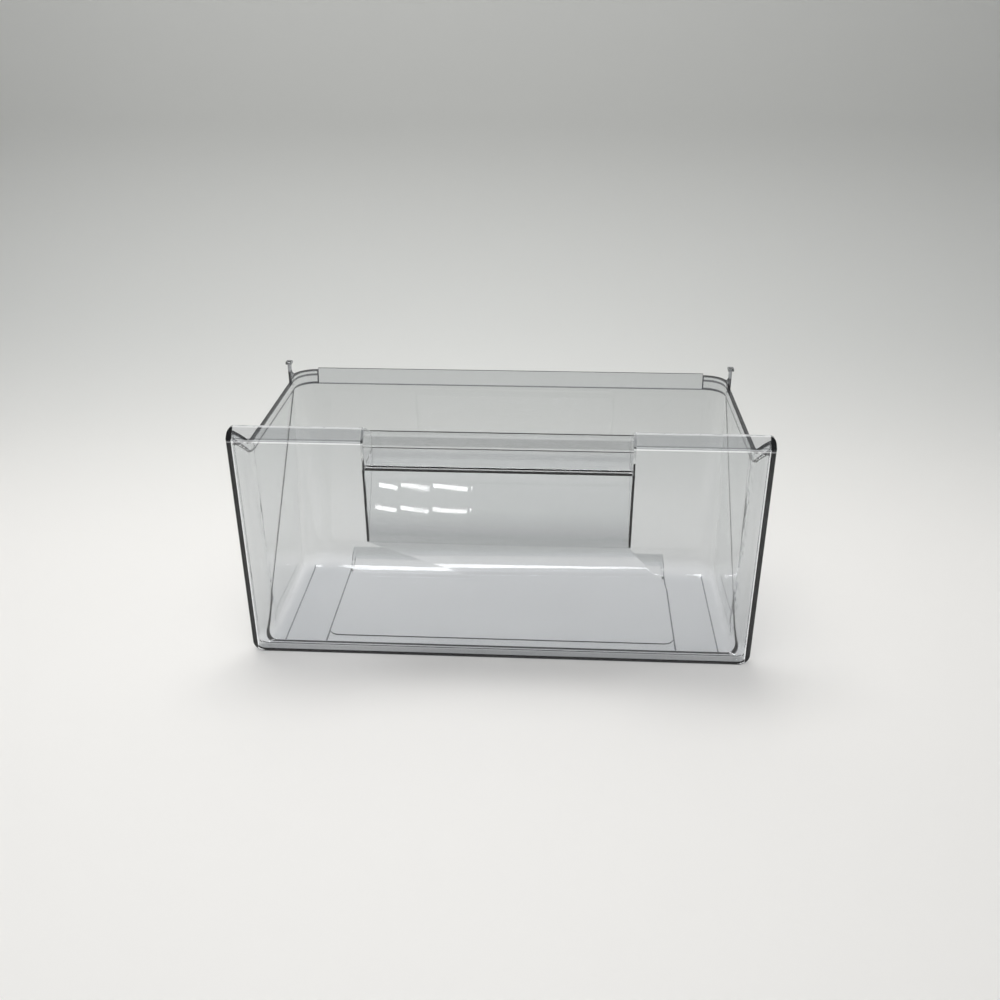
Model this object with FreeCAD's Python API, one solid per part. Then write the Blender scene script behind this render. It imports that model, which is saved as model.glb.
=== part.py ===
import FreeCAD, Part
import math
import os

# Clear freezer drawer: a deep front panel with a hand recess, and a thin-walled tub whose rear wall
# leans back over the step in the freezer floor.
# Millimetres. X runs to the right, Y runs back from the front face, Z runs up from the resting plane.
# The shapes are drawn with the front face at Y = 0; the last step centres them over the origin.

# Driving dimensions: front panel
panel_width = 440.0
face_height = 206.5
visor_rise = 8.8
visor_lean = 9.0
panel_wall = 2.5
panel_foot_radius = 10.0
panel_top_radius = 5.0
panel_edge_radius = 1.2
return_depth = 11.5
return_wall = 2.8

# Driving dimensions: hand recess and grip
recess_width = 221.0
recess_bottom = 115.0
recess_depth = 40.0
recess_wall = 2.2
recess_heel_depth = 6.0
recess_heel_rise = 13.0
recess_heel_radius = 30.0
recess_crown_radius = 12.0
pocket_height = 14.5
shelf_height = 185.0
shelf_wall = 2.5
shelf_setback = 3.2
lip_drop = 5.0
lip_wall = 2.8
lip_radius = 1.2

# Driving dimensions: tub
shoulder_reach = 12.0
shoulder_back = 38.0
side_draw = 1.5
tub_wall = 2.2
tub_foot_depth = 153.0
rear_lean = 36.0
rear_height = 200.5
rear_step = 0.6
wall_height = 186.0
foot_radius = 14.0
rear_corner_radius = 20.0

# Driving dimensions: floor mat, ramp and seam groove of the tub
mat_margin = 50.5
mat_front = 26.0
mat_rise = 1.2
mat_corner_radius = 10.0
ramp_height = 19.0
seam_groove = 0.6
seam_width = 1.6
seam_foot_depth = 15.5
seam_bend_depth = 30.5
seam_bend_height = 47.0
seam_bend_radius = 25.0
seam_slope = 1.04

# Driving dimensions: rim rails, braces and stops
rail_height = 8.5
rail_proud = 1.2
rail_reach = 23.0
corner_rise = 4.0
brace_foot_depth = 24.0
brace_climb = 15.5
stop_height = 21.0
stop_wall = 2.6
stop_inset = 26.0
stop_blade = 4.5
stop_heel_depth = 9.0
stop_heel_height = 6.0
stop_head_width = 5.2
stop_head_depth = 7.0
stop_head_height = 2.6

# Sizes worked out from the driving dimensions
half_panel = panel_width / 2
half_recess = recess_width / 2
panel_height = face_height + visor_rise
pocket_top = shelf_height + pocket_height
rail_top = wall_height + rail_height
half_tub = half_panel - shoulder_reach
half_mat = half_tub - mat_margin
half_gap = half_tub - rail_reach
rear_slope = rear_lean / rear_height
rear_normal = math.hypot(1.0, rear_slope)
side_taper = side_draw / (tub_foot_depth + rear_lean - shoulder_back)
stop_front = tub_foot_depth + rear_slope * rail_top - stop_inset
stop_back = stop_front + stop_blade
ramp_radius = ramp_height / math.tan((math.pi / 2 - math.atan(rear_slope)) / 2)
above = 1.5 * panel_height
far = 2 * panel_width


def vec(x, y, z):
    return FreeCAD.Vector(x, y, z)


def box(x0, x1, y0, y1, z0, z1):
    return Part.makeBox(x1 - x0, y1 - y0, z1 - z0, vec(x0, y0, z0))


def flat_face(points, radii=None):
    """Plane face of a closed outline; each corner is rounded by its radius, and 0 keeps it sharp."""
    count = len(points)
    radii = radii or [0] * count
    starts = []
    ends = []
    edges = []
    for i in range(count):
        corner = points[i]
        to_before = (points[i - 1] - corner).normalize()
        to_after = (points[(i + 1) % count] - corner).normalize()
        half_angle = to_before.getAngle(to_after) / 2
        reach = radii[i] / math.tan(half_angle)
        start = corner + to_before * reach
        end = corner + to_after * reach
        starts.append(start)
        ends.append(end)
        if radii[i]:
            middle = (to_before + to_after).normalize()
            crest = corner + middle * (radii[i] / math.sin(half_angle) - radii[i])
            edges.append(Part.Arc(start, crest, end).toShape())
    for i in range(count):
        start = ends[i]
        end = starts[(i + 1) % count]
        if start.distanceToPoint(end) > 1e-6:
            edges.append(Part.LineSegment(start, end).toShape())
    return Part.Face(Part.Wire(Part.__sortEdges__(edges)))


def side_prism(profile, radii=None, half=far):
    """Extrude a profile of (Y, Z) points across the width, from -half to +half."""
    points = [vec(-half, y, z) for y, z in profile]
    return flat_face(points, radii).extrude(vec(2 * half, 0, 0))


def front_prism(profile, radii=None, y0=-far, y1=far):
    """Extrude a profile of (X, Z) points in depth."""
    points = [vec(x, y0, z) for x, z in profile]
    return flat_face(points, radii).extrude(vec(0, y1 - y0, 0))


def mirrored(shape):
    return shape.mirror(vec(0, 0, 0), vec(1, 0, 0))


def one_solid(shape):
    """Merge split faces and hand back the solid inside a fused shape."""
    clean = shape.removeSplitter()
    return clean.Solids[0] if len(clean.Solids) == 1 else clean


# Front panel: flat face, visor leaning back along the top, returns along the sides and foot

def panel_block(inset, y0, y1):
    """Rounded rectangle of the panel seen from the front, drawn in by an inset."""
    half = half_panel - inset
    foot = max(panel_foot_radius - inset, 1.0)
    top = max(panel_top_radius - inset, 1.0)
    corners = [
        (-half, inset),
        (half, inset),
        (half, panel_height - inset),
        (-half, panel_height - inset),
    ]
    return front_prism(corners, [foot, foot, top, top], y0, y1)


def behind_face(offset):
    """Space behind the face and visor, set back by an offset square to the surface."""
    lean = math.atan2(visor_lean, visor_rise)
    bend = face_height - offset * math.tan(lean / 2)
    reach = far - bend
    profile = [
        (offset, -far),
        (offset, bend),
        (offset + reach * math.tan(lean), far),
        (far, far),
        (far, -far),
    ]
    return side_prism(profile)


def front_panel():
    block = panel_block(0, 0, return_depth)
    hollow = panel_block(return_wall, -far, far)
    hollow = hollow.fuse(hollow.translated(vec(0, 0, return_wall))).common(behind_face(panel_wall))
    outside = block.common(behind_face(0))
    front_edges = []
    for edge in outside.Edges:
        middle = edge.CenterOfMass
        on_side = abs(abs(middle.x) - half_panel) < panel_foot_radius / 2
        if max(v.Point.y for v in edge.Vertexes) < 1e-6 and (on_side or middle.z < panel_foot_radius / 2):
            front_edges.append(edge)
    outside = outside.makeFillet(panel_edge_radius, front_edges)
    window = box(-half_recess, half_recess, -1, far, recess_bottom, far)
    return one_solid(outside.cut(hollow).cut(window))


# Hand recess: a scoop leaning back under the shelf, a low wall behind the shelf and two cheeks

def scoop_space(offset):
    """Space in front of the scoop and the low wall above it, moved back by an offset."""
    profile = [
        (offset, recess_bottom),
        (offset + recess_heel_depth, recess_bottom + recess_heel_rise),
        (offset + recess_depth, shelf_height - shelf_wall - recess_crown_radius / 2),
        (offset + recess_depth, pocket_top),
        (-far, pocket_top),
        (-far, recess_bottom),
    ]
    return side_prism(profile, [0, recess_heel_radius, recess_crown_radius, 0, 0, 0])


def hand_recess():
    span = box(-half_recess, half_recess, 0, far, recess_bottom, pocket_top)
    scoop = scoop_space(recess_wall).cut(scoop_space(0)).common(span)
    cheek_profile = [
        (0, recess_bottom),
        (0, face_height),
        (visor_lean, panel_height),
        (visor_lean + panel_wall, panel_height),
        (recess_depth, pocket_top),
        (far, pocket_top),
        (far, recess_bottom),
    ]
    cheek = side_prism(cheek_profile).common(box(-half_recess, recess_wall - half_recess, -1, far, 0, far))
    head = box(-far, far, -1, far, pocket_top, far)
    cheek = cheek.common(scoop_space(recess_wall).fuse(head))
    return one_solid(scoop.fuse([cheek, mirrored(cheek)]))


# Grip: a level shelf across the recess with a lip hanging from its front edge

def grip_shelf():
    under = shelf_height - shelf_wall
    lip_foot = shelf_height - lip_drop
    lip_back = shelf_setback + lip_wall
    profile = [
        (shelf_setback, shelf_height),
        (recess_depth, shelf_height),
        (recess_depth, under),
        (lip_back, under),
        (lip_back, lip_foot),
        (shelf_setback, lip_foot),
    ]
    radii = [lip_radius, 0, 0, lip_radius / 2, lip_radius, lip_radius]
    return side_prism(profile, radii, half_recess - recess_wall)


# Tub: floor, tapering side walls and leaning rear wall in one thin shell

def half_width(y):
    """Half width of the tub walls at a depth behind the shoulder."""
    return half_tub - side_taper * (y - shoulder_back)


def rear_depth(z):
    return tub_foot_depth + rear_slope * z


def wall_section(half, y, radius, low):
    """Upright section of the tub: flat foot, rounded lower corners and straight sides."""
    corners = [vec(-half, y, above), vec(-half, y, low), vec(half, y, low), vec(half, y, above)]
    return flat_face(corners, [0, radius, radius, 0]).OuterWire


def basin(inset, narrow=0.0):
    """Solid form of the tub behind the shoulder, drawn in by an inset on every side."""
    back_shift = inset * rear_normal
    side = side_prism([
        (shoulder_back, inset),
        (rear_depth(inset) - back_shift, inset),
        (rear_depth(above) - back_shift, above),
        (shoulder_back, above),
    ])
    near_half = half_width(shoulder_back) - inset - narrow
    rear_half = half_width(far) - inset - narrow
    plan = flat_face([
        vec(-near_half, shoulder_back, -far),
        vec(near_half, shoulder_back, -far),
        vec(rear_half, far, -far),
        vec(-rear_half, far, -far),
    ])
    form = side.common(plan.extrude(vec(0, 0, 3 * far)))
    uprights = []
    for edge in form.Edges:
        a, b = [v.Point for v in edge.Vertexes]
        if min(a.y, b.y) > shoulder_back + 1 and abs(a.z - b.z) > 1:
            uprights.append(edge)
    form = form.makeFillet(rear_corner_radius - inset, uprights)
    foot = []
    for edge in form.Edges:
        box_of_edge = edge.BoundBox
        if box_of_edge.ZMax < inset + 0.01 and box_of_edge.YMax > shoulder_back + 1:
            foot.append(edge)
    return form.makeFillet(foot_radius - inset, foot).Solids[0]


def vessel(inset):
    """Basin with its shoulder: in front, the sides swell in a soft curve until they meet the panel returns."""
    form = basin(inset)
    length = shoulder_back - return_depth
    wires = []
    steps = 4
    for i in range(steps):
        left = 1 - i / steps
        half = half_tub + shoulder_reach * left ** 3
        slope = 3 * shoulder_reach * left ** 2 / length
        radius = foot_radius + (panel_foot_radius - foot_radius) * left ** 3
        y = shoulder_back - length * left
        wires.append(wall_section(half - inset * math.hypot(1, slope), y, radius - inset, inset))
    for face in form.Faces:
        if face.BoundBox.YMax < shoulder_back + 0.01:
            wires.append(face.OuterWire)
    return form.fuse(Part.makeLoft(wires, True, False))


def seam_space():
    """Space in front of the seam, which rises steeply at first and then slants to the rear."""
    profile = [
        (seam_foot_depth, -1),
        (seam_bend_depth, seam_bend_height),
        (seam_bend_depth + far, seam_bend_height + seam_slope * far),
        (-far, far),
        (-far, -1),
    ]
    return side_prism(profile, [0, seam_bend_radius, 0, 0, 0])


def ramp_space(offset):
    """Wedge between the floor and the rear wall under a rounded ramp, for surfaces moved inward."""
    foot = rear_depth(offset) - offset * rear_normal
    ramp_top = vec(0, foot, offset) + vec(0, rear_slope, 1).normalize() * ramp_height
    profile = [(foot - 2 * ramp_height, offset), (foot, offset), (ramp_top.y, ramp_top.z)]
    points = [vec(-far, y, z) for y, z in profile]
    start = vec(-far, foot - ramp_height, offset)
    hub = start + vec(0, 0, ramp_radius)
    to_crest = (points[1] - hub).normalize()
    arc = Part.Arc(start, hub + to_crest * ramp_radius, points[2]).toShape()
    floor_edge = Part.LineSegment(start, points[1]).toShape()
    wall_edge = Part.LineSegment(points[1], points[2]).toShape()
    wire = Part.Wire(Part.__sortEdges__([floor_edge, wall_edge, arc]))
    return Part.Face(wire).extrude(vec(2 * far, 0, 0))


def mat_block(inset):
    """Upright block over the floor mat, with rounded corners."""
    half = half_mat - inset
    front = mat_front + inset
    corners = [
        vec(-half, front, -far),
        vec(half, front, -far),
        vec(half, tub_foot_depth + mat_corner_radius / 2, -far),
        vec(-half, tub_foot_depth + mat_corner_radius / 2, -far),
    ]
    return flat_face(corners, [mat_corner_radius - inset] * 4).extrude(vec(0, 0, 2 * far))


def rim_line(level):
    """Edge line of the rim at a level, from the straight walls up to the panel."""
    return [(shoulder_back, level), (brace_foot_depth, level), (return_depth, level + brace_climb)]


def tub():
    walls = vessel(0).cut(vessel(tub_wall))
    seam = seam_space()
    groove = seam.translated(vec(0, seam_width, 0)).cut(seam)
    walls = walls.cut(groove.cut(vessel(seam_groove)))
    rear_band = box(-half_gap, half_gap, tub_foot_depth, far, wall_height, far)
    walls = walls.cut(basin(tub_wall - rear_step).common(rear_band))
    mat_top = tub_wall + mat_rise
    mat_space = mat_block(0).common(box(-far, far, 0, far, 0, mat_top).fuse(ramp_space(mat_top)))
    mat = mat_space.common(vessel(tub_wall / 2))
    pan = mat_block(tub_wall).common(ramp_space(0))
    centre_wall = box(-half_gap, half_gap, rear_depth(0), far, 0, rear_height)
    below_rim = side_prism([(far, 0), (far, wall_height)] + rim_line(wall_height) + [(return_depth, 0)])
    return one_solid(walls.fuse(mat).cut(pan).common(below_rim.fuse(centre_wall)))


# Rim: a proud rail along each side, a brace from its front end up to the panel, and a rear stop

def side_rail():
    """Rail along the left wall and round the rear corner, where it stands taller."""
    profile = [
        (shoulder_back, wall_height),
        (shoulder_back, rail_top),
        (stop_back, rail_top),
        (stop_back, rail_top + corner_rise),
        (far, rail_top + corner_rise),
        (far, wall_height),
    ]
    band = basin(-rail_proud).cut(basin(tub_wall)).common(side_prism(profile))
    return one_solid(band.common(box(-far, -half_gap, shoulder_back, far, 0, far)))


def side_brace():
    """Front end of the left rim, which climbs along the shoulder to the panel's return."""
    band = side_prism(rim_line(wall_height) + rim_line(rail_top)[::-1], None, half_panel)
    return one_solid(vessel(-rail_proud).cut(vessel(tub_wall)).common(band).common(box(-far, 0, 0, far, 0, far)))


def side_stop():
    """Fin on the left rail with a small head and a heel on the taller corner."""
    middle = half_width(stop_front) - (tub_wall - rail_proud) / 2
    head_foot = rail_top + stop_height - stop_head_height
    corner_top = rail_top + corner_rise
    profile = [
        (stop_front, rail_top),
        (stop_front, head_foot),
        (stop_back, head_foot),
        (stop_back, corner_top + stop_heel_height),
        (stop_back + stop_heel_depth, corner_top),
        (stop_back, corner_top),
        (stop_back, rail_top),
    ]
    blade = side_prism(profile, [0, 0, 0, stop_heel_height / 3, 0, 0, 0], stop_wall / 2)
    head_front = stop_front - (stop_head_depth - stop_blade) / 2
    head_profile = [
        (head_front, head_foot),
        (head_front, head_foot + stop_head_height),
        (head_front + stop_head_depth, head_foot + stop_head_height),
        (head_front + stop_head_depth, head_foot),
    ]
    head = side_prism(head_profile, [stop_head_height / 3] * 4, stop_head_width / 2)
    return one_solid(blade.fuse(head).translated(vec(-middle, 0, 0)))


def build():
    os.makedirs("parts", exist_ok=True)
    rail = side_rail()
    brace = side_brace()
    stop = side_stop()
    nodes = {
        "tub": tub(),
        "front_panel": front_panel(),
        "hand_recess": hand_recess(),
        "grip_shelf": grip_shelf(),
        "left_rail": rail,
        "right_rail": mirrored(rail),
        "left_brace": brace,
        "right_brace": mirrored(brace),
        "left_stop": stop,
        "right_stop": mirrored(stop),
    }
    rear_edge = max(shape.BoundBox.YMax for shape in nodes.values())
    for name, shape in nodes.items():
        shape.translate(vec(0, -rear_edge / 2, 0))
        shape.exportStep("parts/" + name + ".step")
        size = shape.BoundBox
        print(name, shape.ShapeType, len(shape.Solids), round(shape.Volume / 1000, 2), "cm3", shape.isValid(), size)


build()
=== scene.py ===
import math
import bpy
import bmesh
from mathutils import Matrix, Vector


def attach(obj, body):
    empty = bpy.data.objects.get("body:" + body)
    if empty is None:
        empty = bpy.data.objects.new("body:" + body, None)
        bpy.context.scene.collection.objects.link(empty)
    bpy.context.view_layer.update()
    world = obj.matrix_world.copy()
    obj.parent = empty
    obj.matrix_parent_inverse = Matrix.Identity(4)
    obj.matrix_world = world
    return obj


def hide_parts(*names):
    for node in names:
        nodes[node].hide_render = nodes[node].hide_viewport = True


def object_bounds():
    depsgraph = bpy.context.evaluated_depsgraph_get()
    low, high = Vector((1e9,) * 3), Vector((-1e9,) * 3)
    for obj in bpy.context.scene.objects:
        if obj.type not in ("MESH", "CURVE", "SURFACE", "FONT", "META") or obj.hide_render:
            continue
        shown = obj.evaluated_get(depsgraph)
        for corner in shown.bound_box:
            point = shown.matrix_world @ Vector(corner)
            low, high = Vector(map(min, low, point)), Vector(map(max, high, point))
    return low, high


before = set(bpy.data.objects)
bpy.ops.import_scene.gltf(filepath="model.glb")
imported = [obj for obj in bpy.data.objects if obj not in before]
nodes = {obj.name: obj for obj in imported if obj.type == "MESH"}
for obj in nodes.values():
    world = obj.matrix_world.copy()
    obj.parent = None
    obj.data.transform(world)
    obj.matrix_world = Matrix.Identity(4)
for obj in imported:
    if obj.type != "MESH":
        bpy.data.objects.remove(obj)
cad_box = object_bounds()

scene = bpy.context.scene

# Camera: the photo's viewing angle
CAM_SIDE = 0.045
CAM_BACK = 0.749
CAM_HEIGHT = 0.5455
CAM_PITCH = 0.4768
CAM_YAW = 0.0575
CAM_ROLL = -0.0043
FOCAL_PX = 1033.0
FRAME_PX = 1000.0
SENSOR = 36.0

FRONT_NODES = ("front_panel", "hand_recess", "grip_shelf")
SMOOTH_ANGLE = math.radians(32)
MERGE = 1e-6

# Places on the object that the painted shade, painted light and painted dark lines follow, in
# metres. Heights are over the table, sides are half widths from the middle plane, depths lie
# behind the front face. A pair is the low and the high end of a band or of a fade.

# Front panel, recess and grip
FACING = 0.15
FACE_TOP = 0.2065
RECESS_HALF = 0.1105
SCOOP_HEIGHTS = (0.1152, 0.180)
HEEL_FADE = (0.120, 0.176)
FOOT_FADE = (0.116, 0.142)
SHELF_HEIGHTS = (0.1822, 0.186)
POCKET_DEPTH = 0.037
POCKET_HEIGHTS = (0.1862, 0.1945)
SIDE_EDGE = 0.2160
FOOT_EDGE = 0.0015
WINDOW_SIDES = (0.1087, 0.1103)
WINDOW_HEIGHTS = (0.116, 0.181)
LIP_HEIGHTS = (0.1799, 0.1820)
LIP_DEPTH = 0.010
FOOT_LINE_DEPTHS = (0.0102, 0.0116)
FOOT_LINE_HEIGHTS = (0.002, 0.004)
CREASE_HEIGHTS = (0.2060, 0.2067)
PALE_CREASE = (0.2046, 0.2056)
PALE_SIDES = (0.2150, 0.2158)
PALE_TOP = 0.2147

# Tub and rim
WALL_FADE = (0.004, 0.019)
FLOOR_TOP = 0.0045
MAT_SIDES = (0.1568, 0.1582)
MAT_DEPTHS = (0.018, 0.15)
BEND_SIDES = (0.1945, 0.1955)
BEND_DEPTHS = (0.014, 0.145)
RIM_FOOT = 0.186
REAR_DEPTH = 0.18
REAR_LINE = (0.1856, 0.1864)
RIM_LINE_LOW = (0.1859, 0.1870)
RIM_LINE_HIGH = (0.1936, 0.1946)
RIM_LINE_CORNER = (0.1976, 0.1986)
RAIL_END = 0.185
RAIL_END_SIDES = (0.1848, 0.1858)
BRACE_FOOT = 0.024
BRACE_SLOPE = 1.24
STOP_FOOT = 0.1995
STOP_DEPTHS = (0.155, 0.180)
STOP_SIDES = (0.2, 0.212)

# Seam: its depth climbs with the height, steeply up to the bend and then at a slant. Its painted
# dark line (painted shade) lies further forward on the outer skin, and is wider above the bend.
SEAM_FOOT = 0.0155
SEAM_BEND = 0.047
SEAM_STEEP = 0.319
SEAM_SLANT = 0.9615
SEAM_SHIFT = 0.0015
SEAM_MIDDLE = 0.0007
SEAM_REACH = 0.0014
SEAM_WIDENING = 0.0018
SEAM_WIDER = (0.02, 0.09)
SEAM_FADE = (0.5, 1.1)
OUTSIDE = -0.002

# Colours of the clear plastic: its tints and shadow colours, then painted shade, painted dark lines
# and painted highlights
FRONT_TINT = (0.90, 0.91, 0.92)
FRONT_SHADOW = (0.68, 0.685, 0.695)
TUB_TINT = (0.965, 0.98, 1.0)
TUB_SHADOW = (0.88, 0.885, 0.895)
# Painted shade: near-black lines along the panel's outline, the lip, the foot line and the tub's
# seam
PAINTED_EDGE_SHADE = (0.001, 0.001, 0.0012)
# Painted shade: dark lines along the rim and the rail ends
PAINTED_RIM_SHADE = (0.10, 0.10, 0.11)
# Painted shade: dark lines along the visor's crease, the mat, the floor's bends and the rear wall
PAINTED_LINE_SHADE = (0.30, 0.31, 0.33)
# Painted shade: the visor above the face is painted greyer
VISOR_SHADE = (0.76, 0.77, 0.785)
# Painted light: the recess's scoop is painted lighter than the panel
SCOOP_LIGHT = (0.93, 0.945, 0.96)
# Painted shade: the scoop darkens towards its heel and foot
HEEL_SHADE = (0.80, 0.815, 0.83)
FOOT_SHADE = (0.64, 0.655, 0.67)
# Painted light: the grip's shelf is painted lighter, almost clear
SHELF_LIGHT = (0.99, 0.99, 1.0)
# Painted shade: the tub's walls are painted greyer above the floor
WALL_SHADE = (0.755, 0.77, 0.775)
# Painted shade: the band over the rim at the rear is painted greyer
BAND_SHADE = (0.76, 0.775, 0.785)
# Painted shade: the stops are painted dark
STOP_SHADE = (0.36, 0.37, 0.39)
# Painted shade: the pocket behind the lip is painted greyer
POCKET_SHADE = (0.66, 0.67, 0.68)
# Painted highlight: emission colour of the pale lines on the panel's edges
PAINTED_HIGHLIGHT = (0.22, 0.22, 0.22)
NO_HIGHLIGHT = (0.0, 0.0, 0.0)

# Studio
TABLE_PAINT = (0.86, 0.845, 0.82)
# Painted shade: the sweep is painted darker back and up its wall
BACKDROP_SHADE_PAINT = (0.65, 0.655, 0.635)
# Painted reflection: far out, the table is darker in what the clear pieces mirror and bend in,
# never for the camera
FAR_REFLECTION_SHADE = (0.40, 0.40, 0.39)
PAINT_ROUGHNESS = 0.6
PAINT_SPECULAR = 0.2
BACKDROP_SHADE_FADE = (0.02, 0.72)
FAR_SIDES = (0.6, 1.2)
FAR_FRONT = (0.4, 1.0)
TABLE_LEVEL = -0.0003
TABLE_REACH = 9.0
BACKDROP_DEPTH = 0.32
BACKDROP_RADIUS = 0.35
BACKDROP_STEPS = 16
BACKDROP_HEIGHT = 6.0
HORIZON = (0.02, 0.02, 0.021, 1)
CEILING = (0.30, 0.31, 0.32, 1)
CEILING_START = 0.9

# Ceiling lamps: depth and height of each row, and where each lamp starts and ends along X
STRIP_ROWS = ((-1.226, 1.241), (-1.259, 1.199))
STRIP_SPANS = ((-0.379, -0.327), (-0.3176, -0.2486), (-0.239, -0.160), (-0.152, -0.149))
STRIP_TARGET = (-0.06, -0.07, 0.15)
STRIP_WIDTH = 0.010
STRIP_RADIANCE = 11


def make_camera():
    cp, sp = math.cos(CAM_PITCH), math.sin(CAM_PITCH)
    cy, sy = math.cos(CAM_YAW), math.sin(CAM_YAW)
    forward = Vector((-sy * cp, cy * cp, -sp))
    level = Vector((cy, sy, 0.0))
    over = level.cross(forward)
    cr, sr = math.cos(CAM_ROLL), math.sin(CAM_ROLL)
    right = level * cr + over * sr
    up = over * cr - level * sr
    data = bpy.data.cameras.new("camera")
    data.sensor_width = SENSOR
    data.lens = SENSOR * FOCAL_PX / FRAME_PX
    data.clip_start = 0.01
    cam = bpy.data.objects.new("camera", data)
    turn = Matrix((right, up, -forward)).transposed().to_4x4()
    turn.translation = Vector((CAM_SIDE, cad_box[0][1] - CAM_BACK, CAM_HEIGHT))
    cam.matrix_world = turn
    scene.collection.objects.link(cam)
    scene.camera = cam


# Materials

def add(tree, kind, **values):
    """New shader node with some of its sockets set."""
    node = tree.nodes.new(kind)
    for name, value in values.items():
        node.inputs[name.replace("_", " ")].default_value = value
    return node


class Shade:
    """Small calculator of shader nodes over a point's place and normal on the object, in metres."""

    def __init__(self, tree):
        self.tree = tree
        place = tree.nodes.new("ShaderNodeTexCoord")
        self.point = place.outputs["Object"]
        self.x, self.y, self.z = self.split(place.outputs["Object"])
        self.ny = self.split(place.outputs["Normal"])[1]
        self.side = self.calc("ABSOLUTE", self.x)
        self.depth = self.calc("SUBTRACT", self.y, cad_box[0][1])

    def split(self, vector):
        node = self.tree.nodes.new("ShaderNodeSeparateXYZ")
        self.tree.links.new(vector, node.inputs[0])
        return node.outputs

    def calc(self, operation, *values):
        node = self.tree.nodes.new("ShaderNodeMath")
        node.operation = operation
        for socket, value in zip(node.inputs, values):
            if isinstance(value, (int, float)):
                socket.default_value = value
            else:
                self.tree.links.new(value, socket)
        return node.outputs[0]

    def above(self, value, limit):
        return self.calc("GREATER_THAN", value, limit)

    def below(self, value, limit):
        return self.calc("LESS_THAN", value, limit)

    def inside(self, value, ends):
        """1 where the value lies between the two ends, else 0."""
        low, high = ends
        return self.calc("COMPARE", value, (low + high) / 2, (high - low) / 2)

    def rise(self, value, ends):
        """Rises softly from 0 to 1 between the two ends."""
        node = self.tree.nodes.new("ShaderNodeMapRange")
        node.interpolation_type = "SMOOTHSTEP"
        node.inputs["From Min"].default_value, node.inputs["From Max"].default_value = ends
        self.tree.links.new(value, node.inputs["Value"])
        return node.outputs["Result"]

    def fall(self, value, ends):
        """Falls softly from 1 to 0 between the two ends."""
        return self.calc("SUBTRACT", 1.0, self.rise(value, ends))

    def all_of(self, first, *others):
        for other in others:
            first = self.calc("MULTIPLY", first, other)
        return first

    def any_of(self, first, *others):
        for other in others:
            first = self.calc("MAXIMUM", first, other)
        return first

    def blend(self, mask, under, over):
        """Colour between two, each a socket or three numbers."""
        node = self.tree.nodes.new("ShaderNodeMix")
        node.data_type = "RGBA"
        sockets = [socket for socket in node.inputs if socket.type == "RGBA"]
        self.tree.links.new(mask, node.inputs[0])
        for socket, colour in zip(sockets, (under, over)):
            if isinstance(colour, tuple):
                socket.default_value = (*colour, 1.0)
            else:
                self.tree.links.new(colour, socket)
        return [socket for socket in node.outputs if socket.type == "RGBA"][0]


def front_colour(sh, tint):
    """Panel, recess and grip: painted shade, greyer where thick or steep and dark along the moulded
    edges; painted light on the scoop and shelf.
    """
    facing = sh.above(sh.calc("ABSOLUTE", sh.ny), FACING)
    in_recess = sh.below(sh.side, RECESS_HALF)
    scoop = sh.all_of(in_recess, sh.inside(sh.z, SCOOP_HEIGHTS))
    heel = sh.all_of(scoop, sh.fall(sh.z, HEEL_FADE))
    foot = sh.all_of(scoop, sh.fall(sh.z, FOOT_FADE))
    shelf = sh.all_of(in_recess, sh.inside(sh.z, SHELF_HEIGHTS))
    behind = sh.above(sh.depth, POCKET_DEPTH)
    pocket = sh.all_of(in_recess, behind, sh.inside(sh.z, POCKET_HEIGHTS))
    # Painted shade on the visor, the scoop's heel and foot and the pocket; painted light on the
    # scoop and shelf
    colour = sh.blend(sh.above(sh.z, FACE_TOP), tint, VISOR_SHADE)
    colour = sh.blend(scoop, colour, SCOOP_LIGHT)
    colour = sh.blend(heel, colour, HEEL_SHADE)
    colour = sh.blend(foot, colour, FOOT_SHADE)
    colour = sh.blend(shelf, colour, SHELF_LIGHT)
    colour = sh.blend(pocket, colour, POCKET_SHADE)
    # Painted shade: a dark line along the crease under the visor
    crease = sh.all_of(sh.inside(sh.z, CREASE_HEIGHTS), facing)
    colour = sh.blend(crease, colour, PAINTED_LINE_SHADE)
    # Painted shade: dark lines along the outline, the recess's sides, the lip and the foot
    window = sh.all_of(sh.inside(sh.side, WINDOW_SIDES), sh.inside(sh.z, WINDOW_HEIGHTS))
    edges = sh.any_of(sh.above(sh.side, SIDE_EDGE), sh.below(sh.z, FOOT_EDGE), window)
    outline = sh.all_of(facing, edges)
    lip = sh.all_of(in_recess, sh.inside(sh.z, LIP_HEIGHTS), facing, sh.below(sh.depth, LIP_DEPTH))
    foot_line = sh.all_of(
        sh.inside(sh.depth, FOOT_LINE_DEPTHS), sh.inside(sh.z, FOOT_LINE_HEIGHTS))
    return sh.blend(sh.any_of(outline, lip, foot_line), colour, PAINTED_EDGE_SHADE)


def front_painted_highlights(sh):
    """Painted highlight: fine pale lines, glowing by emission, where the rounded edges of the panel
    would catch the ceiling's light.
    """
    facing = sh.below(sh.ny, -FACING)
    crease = sh.all_of(facing, sh.inside(sh.z, PALE_CREASE))
    edge = sh.all_of(facing, sh.inside(sh.side, PALE_SIDES), sh.below(sh.z, FACE_TOP))
    lines = sh.any_of(crease, edge, sh.above(sh.z, PALE_TOP))
    return sh.blend(lines, NO_HIGHLIGHT, PAINTED_HIGHLIGHT)


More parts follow.
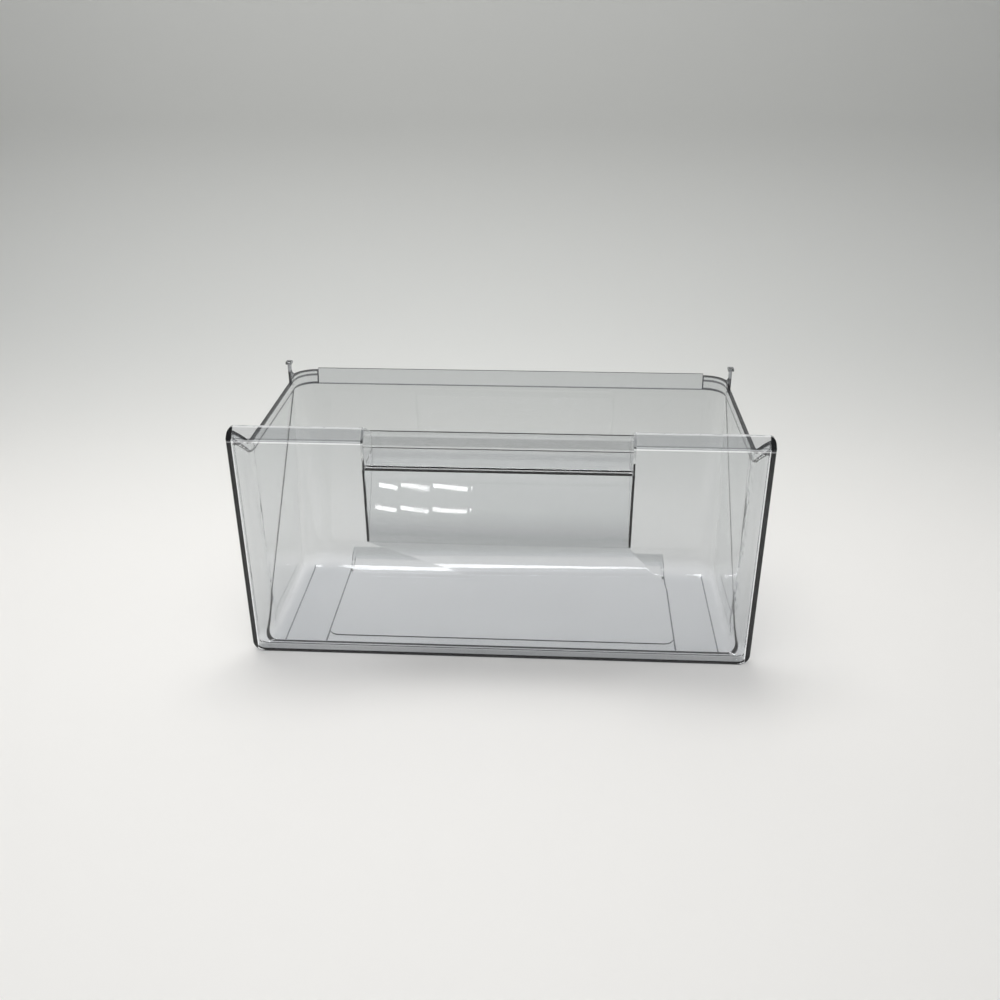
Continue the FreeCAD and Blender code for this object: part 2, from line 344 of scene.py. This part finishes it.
def seam_mask(sh):
    """Where the seam's painted dark line goes: 1 on the seam, fading out softly on both sides."""
    steep = sh.calc("MULTIPLY_ADD", sh.z, SEAM_STEEP, SEAM_FOOT)
    slant_foot = SEAM_FOOT - SEAM_BEND * (SEAM_SLANT - SEAM_STEEP)
    slant = sh.calc("MULTIPLY_ADD", sh.z, SEAM_SLANT, slant_foot)
    from_seam = sh.calc("SUBTRACT", sh.depth, sh.calc("MAXIMUM", steep, slant))
    outer = add(sh.tree, "ShaderNodeAttribute")
    outer.attribute_name = "outer"
    shifted = sh.calc("ADD", from_seam, SEAM_SHIFT)
    from_seam = sh.calc("MULTIPLY_ADD", outer.outputs["Fac"], -SEAM_SHIFT, shifted)
    reach = sh.calc("MULTIPLY_ADD", sh.rise(sh.z, SEAM_WIDER), SEAM_WIDENING, SEAM_REACH)
    away = sh.calc("ABSOLUTE", sh.calc("SUBTRACT", from_seam, SEAM_MIDDLE))
    near = sh.fall(sh.calc("DIVIDE", away, reach), SEAM_FADE)
    return sh.all_of(near, sh.below(sh.z, RIM_FOOT))


def tub_colour(sh, tint):
    """Tub and rim: painted shade, with greyer walls and rear band, dark stops, a dark seam and fine
    dark lines along the mat, the floor's bends and the rim.
    """
    ahead = sh.calc("MAXIMUM", sh.calc("SUBTRACT", BRACE_FOOT, sh.depth), 0.0)
    level = sh.calc("SUBTRACT", sh.z, sh.calc("MULTIPLY", ahead, BRACE_SLOPE))
    at_rear = sh.above(sh.depth, REAR_DEPTH)
    over_rim = sh.above(sh.z, RIM_FOOT)
    # Painted shade: walls greyer above the floor, and the rear band over the rim greyer
    colour = sh.blend(sh.rise(sh.z, WALL_FADE), tint, WALL_SHADE)
    colour = sh.blend(sh.all_of(over_rim, at_rear), colour, BAND_SHADE)
    # Painted shade: dark lines along the mat, the floor's bends and the rear wall
    floor = sh.below(sh.z, FLOOR_TOP)
    mat_line = sh.all_of(floor, sh.inside(sh.side, MAT_SIDES), sh.inside(sh.depth, MAT_DEPTHS))
    bend_line = sh.all_of(floor, sh.inside(sh.side, BEND_SIDES), sh.inside(sh.depth, BEND_DEPTHS))
    rear_line = sh.all_of(sh.inside(sh.z, REAR_LINE), at_rear)
    colour = sh.blend(sh.any_of(mat_line, bend_line, rear_line), colour, PAINTED_LINE_SHADE)
    # Painted shade: the stops are painted dark
    stop = sh.all_of(
        sh.above(sh.z, STOP_FOOT), sh.inside(sh.depth, STOP_DEPTHS), sh.inside(sh.side, STOP_SIDES))
    colour = sh.blend(stop, colour, STOP_SHADE)
    # Painted shade: dark lines along the rim and at the rail ends
    rim = sh.any_of(
        sh.inside(level, RIM_LINE_LOW), sh.inside(level, RIM_LINE_HIGH),
        sh.inside(sh.z, RIM_LINE_CORNER))
    on_rim = sh.all_of(rim, sh.above(sh.side, RAIL_END))
    rail_end = sh.all_of(sh.inside(sh.side, RAIL_END_SIDES), over_rim)
    colour = sh.blend(sh.any_of(on_rim, rail_end), colour, PAINTED_RIM_SHADE)
    # Painted shade: the seam's dark line
    return sh.blend(seam_mask(sh), colour, PAINTED_EDGE_SHADE)


def clear_plastic(name, tint, colour_of, shadow, highlights_of=None):
    """Moulded clear plastic: refracts and reflects, and lets the lamps' light through."""
    mat = bpy.data.materials.new(name)
    mat.use_nodes = True
    tree = mat.node_tree
    tree.nodes.clear()
    link = tree.links.new
    sh = Shade(tree)
    colour = colour_of(sh, tint)
    waves = add(tree, "ShaderNodeTexNoise", Scale=22.0, Detail=1.0, Roughness=0.4)
    smudge = add(tree, "ShaderNodeTexNoise", Scale=38.0, Detail=4.0, Roughness=0.6)
    link(sh.point, waves.inputs["Vector"])
    link(sh.point, smudge.inputs["Vector"])
    bump = add(tree, "ShaderNodeBump", Strength=0.10, Distance=0.0004)
    link(waves.outputs["Fac"], bump.inputs["Height"])
    rough = add(
        tree, "ShaderNodeMapRange", From_Min=0.35, From_Max=0.75, To_Min=0.0, To_Max=0.05)
    link(smudge.outputs["Fac"], rough.inputs["Value"])
    glass = add(tree, "ShaderNodeBsdfPrincipled", Transmission_Weight=1.0, IOR=1.57)
    link(colour, glass.inputs["Base Color"])
    link(rough.outputs["Result"], glass.inputs["Roughness"])
    link(bump.outputs["Normal"], glass.inputs["Normal"])
    # Painted highlight: the pale lines glow by emission
    if highlights_of:
        glass.inputs["Emission Strength"].default_value = 1.0
        link(highlights_of(sh), glass.inputs["Emission Color"])
    clear = add(tree, "ShaderNodeBsdfTransparent", Color=(*shadow, 1.0))
    path = tree.nodes.new("ShaderNodeLightPath")
    either = sh.any_of(path.outputs["Is Shadow Ray"], path.outputs["Is Diffuse Ray"])
    mix = tree.nodes.new("ShaderNodeMixShader")
    link(either, mix.inputs[0])
    link(glass.outputs[0], mix.inputs[1])
    link(clear.outputs[0], mix.inputs[2])
    out = tree.nodes.new("ShaderNodeOutputMaterial")
    link(mix.outputs[0], out.inputs["Surface"])
    return mat


def table_paint():
    """Pale matt paint with painted shade, darker back and up the wall; what the clear pieces mirror
    and bend in from far out on it is painted dim, a painted reflection.
    """
    mat = bpy.data.materials.new("floor_paint")
    mat.use_nodes = True
    tree = mat.node_tree
    bsdf = tree.nodes["Principled BSDF"]
    bsdf.inputs["Roughness"].default_value = PAINT_ROUGHNESS
    bsdf.inputs["Specular IOR Level"].default_value = PAINT_SPECULAR
    sh = Shade(tree)
    back_and_up = sh.calc("ADD", sh.y, sh.z)
    forward = sh.calc("MULTIPLY", sh.y, -1.0)
    far_out = sh.any_of(sh.rise(sh.side, FAR_SIDES), sh.rise(forward, FAR_FRONT))
    path = tree.nodes.new("ShaderNodeLightPath")
    indirect = sh.calc("SUBTRACT", 1.0, path.outputs["Is Camera Ray"])
    # Painted shade: darker back and up the sweep
    colour = sh.blend(sh.rise(back_and_up, BACKDROP_SHADE_FADE), TABLE_PAINT, BACKDROP_SHADE_PAINT)
    # Painted reflection: dimmer far out, for all but camera rays
    colour = sh.blend(sh.all_of(far_out, indirect), colour, FAR_REFLECTION_SHADE)
    tree.links.new(colour, bsdf.inputs["Base Color"])
    return mat


# Clear pieces: the nodes' walls are merged where they meet, so no film of air shows between them

def joined_walls(names):
    """One closed skin over all nodes; each face keeps the index of its node."""
    markers = [bpy.data.materials.new("merge_" + name) for name in names]
    copies = []
    for i, name in enumerate(names):
        mesh = nodes[name].data.copy()
        mesh.materials.clear()
        for marker in markers:
            mesh.materials.append(marker)
        for face in mesh.polygons:
            face.material_index = i
        bm = bmesh.new()
        bm.from_mesh(mesh)
        bmesh.ops.remove_doubles(bm, verts=bm.verts, dist=MERGE)
        bm.to_mesh(mesh)
        bm.free()
        ob = bpy.data.objects.new("copy_" + name, mesh)
        scene.collection.objects.link(ob)
        copies.append(ob)
    for other in copies[1:]:
        mod = copies[0].modifiers.new("join", "BOOLEAN")
        mod.operation = "UNION"
        mod.solver = "EXACT"
        mod.material_mode = "INDEX"
        mod.object = other
    bpy.context.view_layer.update()
    deps = bpy.context.evaluated_depsgraph_get()
    mesh = bpy.data.meshes.new_from_object(copies[0].evaluated_get(deps))
    for ob in copies:
        bpy.data.objects.remove(ob)
    for marker in markers:
        bpy.data.materials.remove(marker)
    skin = bmesh.new()
    skin.from_mesh(mesh)
    bmesh.ops.dissolve_degenerate(skin, edges=skin.edges, dist=MERGE)
    bpy.data.meshes.remove(mesh)
    return skin


def soft_normals(skin):
    """Normal of each face corner: the neighbours within the smooth angle, weighted by area."""
    skin.faces.ensure_lookup_table()
    areas = [face.calc_area() for face in skin.faces]
    limit = math.cos(SMOOTH_ANGLE)
    normals = {}
    for face in skin.faces:
        for vert in face.verts:
            total = Vector((0.0, 0.0, 0.0))
            for other in vert.link_faces:
                if face.normal.dot(other.normal) > limit:
                    total += other.normal * areas[other.index]
            normals[face.index, vert.index] = total.normalized()
    return normals


def mark_outside(mesh):
    """Flag on the faces of the outer skin, for the seam."""
    flags = mesh.attributes.new("outer", "FLOAT", "FACE")
    for face in mesh.polygons:
        inward = face.normal.z > 0.9 or face.center.x * face.normal.x < OUTSIDE
        flags.data[face.index].value = float(not inward)


def split_walls(skin, normals, names, finishes):
    """One piece per node, cut out of the joined skin with the skin's own normals."""
    skin_mesh = bpy.data.meshes.new("skin")
    face_tag = skin.faces.layers.int.new("face_tag")
    vert_tag = skin.verts.layers.int.new("vert_tag")
    for face in skin.faces:
        face[face_tag] = face.index
    for vert in skin.verts:
        vert[vert_tag] = vert.index
    skin.to_mesh(skin_mesh)
    for i, name in enumerate(names):
        bm = bmesh.new()
        bm.from_mesh(skin_mesh)
        bmesh.ops.delete(bm, geom=[f for f in bm.faces if f.material_index != i], context="FACES")
        faces = bm.faces.layers.int["face_tag"]
        verts = bm.verts.layers.int["vert_tag"]
        corners = []
        for face in bm.faces:
            face.material_index = 0
            face.smooth = True
            corners += [normals[face[faces], vert[verts]] for vert in face.verts]
        mesh = bpy.data.meshes.new(name + "_clear")
        bm.to_mesh(mesh)
        bm.free()
        mesh.materials.clear()
        mesh.materials.append(finishes[name])
        mesh.normals_split_custom_set(corners)
        mark_outside(mesh)
        for tag in ("face_tag", "vert_tag"):
            mesh.attributes.remove(mesh.attributes[tag])
        ob = bpy.data.objects.new(name + "_clear", mesh)
        scene.collection.objects.link(ob)
        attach(ob, "root")
        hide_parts(name)
    bpy.data.meshes.remove(skin_mesh)


def dress_walls():
    front = clear_plastic("front_clear", FRONT_TINT, front_colour, FRONT_SHADOW, front_painted_highlights)
    tub = clear_plastic("tub_clear", TUB_TINT, tub_colour, TUB_SHADOW)
    names = sorted(nodes)
    finishes = {name: front if name in FRONT_NODES else tub for name in names}
    skin = joined_walls(names)
    split_walls(skin, soft_normals(skin), names, finishes)
    skin.free()


# Studio

def sweep():
    """Table that curves up into a wall behind the object."""
    rows = [(-TABLE_REACH, TABLE_LEVEL), (BACKDROP_DEPTH, TABLE_LEVEL)]
    for i in range(1, BACKDROP_STEPS + 1):
        turn = math.pi / 2 * i / BACKDROP_STEPS
        out = BACKDROP_RADIUS * math.sin(turn)
        rows.append((BACKDROP_DEPTH + out, BACKDROP_RADIUS * (1 - math.cos(turn))))
    rows.append((BACKDROP_DEPTH + BACKDROP_RADIUS, BACKDROP_HEIGHT))
    verts = [(side * TABLE_REACH, y, z) for y, z in rows for side in (-1, 1)]
    faces = [(2 * i, 2 * i + 1, 2 * i + 3, 2 * i + 2) for i in range(len(rows) - 1)]
    mesh = bpy.data.meshes.new("floor")
    mesh.from_pydata(verts, [], faces)
    for face in mesh.polygons:
        face.use_smooth = True
    mesh.materials.append(table_paint())
    ob = bpy.data.objects.new("floor", mesh)
    scene.collection.objects.link(ob)


def area(name, pos, target, size, power, glossy=False):
    """Soft lamp that the camera and the refracted light don't see; glossy ones are mirrored."""
    data = bpy.data.lights.new(name, "AREA")
    data.shape = "RECTANGLE"
    data.size, data.size_y = size
    data.energy = power
    ob = bpy.data.objects.new(name, data)
    ob.location = pos
    ob.rotation_euler = (Vector(target) - Vector(pos)).to_track_quat("-Z", "Y").to_euler()
    ob.visible_camera = False
    ob.visible_transmission = False
    ob.visible_glossy = glossy
    scene.collection.objects.link(ob)


def strip_lamps():
    """Two rows of ceiling lamps that mirror in the recess."""
    for y, z in STRIP_ROWS:
        for start, end in STRIP_SPANS:
            length = end - start
            power = STRIP_RADIANCE * length * STRIP_WIDTH * math.pi
            area("strip", ((start + end) / 2, y, z), STRIP_TARGET, (length, STRIP_WIDTH), power,
                 glossy=True)


def make_world():
    """Dim room: a soft ceiling over dark surroundings."""
    world = bpy.data.worlds.new("world")
    world.use_nodes = True
    tree = world.node_tree
    back = tree.nodes["Background"]
    place = tree.nodes.new("ShaderNodeTexCoord")
    split = tree.nodes.new("ShaderNodeSeparateXYZ")
    ramp = tree.nodes.new("ShaderNodeValToRGB")
    tree.links.new(place.outputs["Generated"], split.inputs[0])
    tree.links.new(split.outputs["Z"], ramp.inputs[0])
    tree.links.new(ramp.outputs[0], back.inputs["Color"])
    low, high = ramp.color_ramp.elements
    low.position, low.color = 0.0, HORIZON
    high.position, high.color = CEILING_START, CEILING
    scene.world = world


make_camera()
scene.view_settings.view_transform = "Standard"
dress_walls()
sweep()
area("key", (-0.20, 0.30, 1.7), (0, -0.15, 0), (1.0, 0.5), 19, glossy=True)
area("fill", (-0.1, -0.9, 1.8), (0, -0.25, 0.0), (1.6, 1.0), 10.5)
strip_lamps()
make_world()
